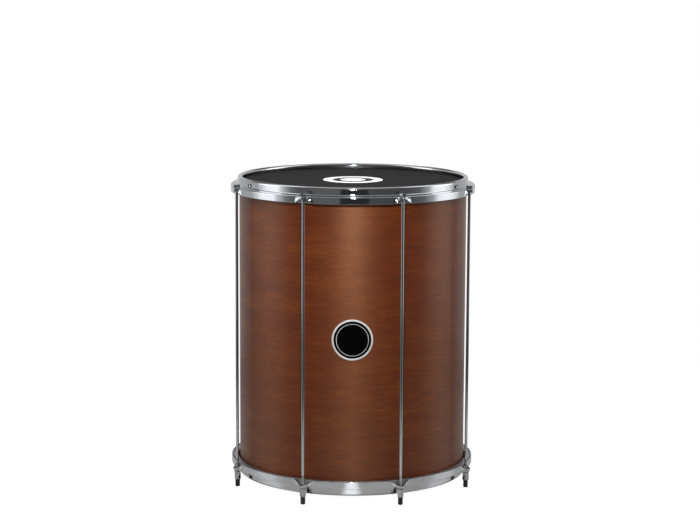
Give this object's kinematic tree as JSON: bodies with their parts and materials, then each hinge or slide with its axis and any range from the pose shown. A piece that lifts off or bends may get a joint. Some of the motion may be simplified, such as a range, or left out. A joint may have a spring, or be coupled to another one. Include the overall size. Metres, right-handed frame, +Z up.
{
  "type": "surdo drum",
  "caption": "Tall floor-standing surdo bass drum: stained wooden shell, black heads and chromed hoops drawn together by long rods with turning nuts; it stands on rubber caps.",
  "frame": {"origin": "on the floor under the middle of the drum, at the level of the rubber caps' tips", "axes": "+Z up the drum's axis, -Y towards the badge, +X to the right seen from the badge's side"},
  "size_m": [0.49, 0.49, 0.619],
  "materials": {
    "shell_veneer": "satin stained veneer",
    "hoop_chrome": "polished",
    "rod_chrome": "polished",
    "channel_aluminium": "satin",
    "head_film": "matte polyester film",
    "washer_steel": "zinc plated",
    "cap_rubber": "matte",
    "badge_enamel": "gloss enamel",
    "badge_rim": "satin"
  },
  "bodies": {
    "drum": {"shell": "shell_veneer", "top_hoop": "hoop_chrome", "bottom_hoop": "hoop_chrome", "top_flesh_hoop": "channel_aluminium", "bottom_flesh_hoop": "channel_aluminium", "batter_head": "head_film", "resonant_head": "head_film", "badge_plate": "badge_enamel", "badge_ring": "badge_rim", "tension_rod_1": "rod_chrome", "head_washer_1": "washer_steel", "tension_rod_2": "rod_chrome", "head_washer_2": "washer_steel", "tension_rod_3": "rod_chrome", "head_washer_3": "washer_steel", "tension_rod_4": "rod_chrome", "head_washer_4": "washer_steel", "tension_rod_5": "rod_chrome", "head_washer_5": "washer_steel", "tension_rod_6": "rod_chrome", "head_washer_6": "washer_steel", "tension_rod_7": "rod_chrome", "head_washer_7": "washer_steel", "tension_rod_8": "rod_chrome", "head_washer_8": "washer_steel"},
    "carrier_1": {"seat_washer_1": "washer_steel", "end_cap_1": "cap_rubber"},
    "nut_1": {"tuning_nut_1": "rod_chrome"},
    "carrier_2": {"seat_washer_2": "washer_steel", "end_cap_2": "cap_rubber"},
    "nut_2": {"tuning_nut_2": "rod_chrome"},
    "carrier_3": {"seat_washer_3": "washer_steel", "end_cap_3": "cap_rubber"},
    "nut_3": {"tuning_nut_3": "rod_chrome"},
    "carrier_4": {"seat_washer_4": "washer_steel", "end_cap_4": "cap_rubber"},
    "nut_4": {"tuning_nut_4": "rod_chrome"},
    "carrier_5": {"seat_washer_5": "washer_steel", "end_cap_5": "cap_rubber"},
    "nut_5": {"tuning_nut_5": "rod_chrome"},
    "carrier_6": {"seat_washer_6": "washer_steel", "end_cap_6": "cap_rubber"},
    "nut_6": {"tuning_nut_6": "rod_chrome"},
    "carrier_7": {"seat_washer_7": "washer_steel", "end_cap_7": "cap_rubber"},
    "nut_7": {"tuning_nut_7": "rod_chrome"},
    "carrier_8": {"seat_washer_8": "washer_steel", "end_cap_8": "cap_rubber"},
    "nut_8": {"tuning_nut_8": "rod_chrome"}
  },
  "joints": [
    {"name": "nut_travel_1", "type": "slide", "parent": "drum", "child": "carrier_1", "axis": [0, 0, -1], "range_m": [0, 0.003]},
    {"name": "nut_turn_1", "type": "hinge", "parent": "carrier_1", "child": "nut_1", "pos_m": [0.09471, -0.22866, 0.0232], "axis": [0, 0, -1], "range_deg": [0, 1080]},
    {"name": "nut_travel_2", "type": "slide", "parent": "drum", "child": "carrier_2", "axis": [0, 0, -1], "range_m": [0, 0.003]},
    {"name": "nut_turn_2", "type": "hinge", "parent": "carrier_2", "child": "nut_2", "pos_m": [0.22866, -0.09471, 0.0232], "axis": [0, 0, -1], "range_deg": [0, 1080]},
    {"name": "nut_travel_3", "type": "slide", "parent": "drum", "child": "carrier_3", "axis": [0, 0, -1], "range_m": [0, 0.003]},
    {"name": "nut_turn_3", "type": "hinge", "parent": "carrier_3", "child": "nut_3", "pos_m": [0.22866, 0.09471, 0.0232], "axis": [0, 0, -1], "range_deg": [0, 1080]},
    {"name": "nut_travel_4", "type": "slide", "parent": "drum", "child": "carrier_4", "axis": [0, 0, -1], "range_m": [0, 0.003]},
    {"name": "nut_turn_4", "type": "hinge", "parent": "carrier_4", "child": "nut_4", "pos_m": [0.09471, 0.22866, 0.0232], "axis": [0, 0, -1], "range_deg": [0, 1080]},
    {"name": "nut_travel_5", "type": "slide", "parent": "drum", "child": "carrier_5", "axis": [0, 0, -1], "range_m": [0, 0.003]},
    {"name": "nut_turn_5", "type": "hinge", "parent": "carrier_5", "child": "nut_5", "pos_m": [-0.09471, 0.22866, 0.0232], "axis": [0, 0, -1], "range_deg": [0, 1080]},
    {"name": "nut_travel_6", "type": "slide", "parent": "drum", "child": "carrier_6", "axis": [0, 0, -1], "range_m": [0, 0.003]},
    {"name": "nut_turn_6", "type": "hinge", "parent": "carrier_6", "child": "nut_6", "pos_m": [-0.22866, 0.09471, 0.0232], "axis": [0, 0, -1], "range_deg": [0, 1080]},
    {"name": "nut_travel_7", "type": "slide", "parent": "drum", "child": "carrier_7", "axis": [0, 0, -1], "range_m": [0, 0.003]},
    {"name": "nut_turn_7", "type": "hinge", "parent": "carrier_7", "child": "nut_7", "pos_m": [-0.22866, -0.09471, 0.0232], "axis": [0, 0, -1], "range_deg": [0, 1080]},
    {"name": "nut_travel_8", "type": "slide", "parent": "drum", "child": "carrier_8", "axis": [0, 0, -1], "range_m": [0, 0.003]},
    {"name": "nut_turn_8", "type": "hinge", "parent": "carrier_8", "child": "nut_8", "pos_m": [-0.09471, -0.22866, 0.0232], "axis": [0, 0, -1], "range_deg": [0, 1080]}
  ],
  "couplings": [
    {"joint": "nut_travel_1", "follows": "nut_turn_1", "m_per_rad": 0.000159},
    {"joint": "nut_travel_2", "follows": "nut_turn_2", "m_per_rad": 0.000159},
    {"joint": "nut_travel_3", "follows": "nut_turn_3", "m_per_rad": 0.000159},
    {"joint": "nut_travel_4", "follows": "nut_turn_4", "m_per_rad": 0.000159},
    {"joint": "nut_travel_5", "follows": "nut_turn_5", "m_per_rad": 0.000159},
    {"joint": "nut_travel_6", "follows": "nut_turn_6", "m_per_rad": 0.000159},
    {"joint": "nut_travel_7", "follows": "nut_turn_7", "m_per_rad": 0.000159},
    {"joint": "nut_travel_8", "follows": "nut_turn_8", "m_per_rad": 0.000159}
  ]
}
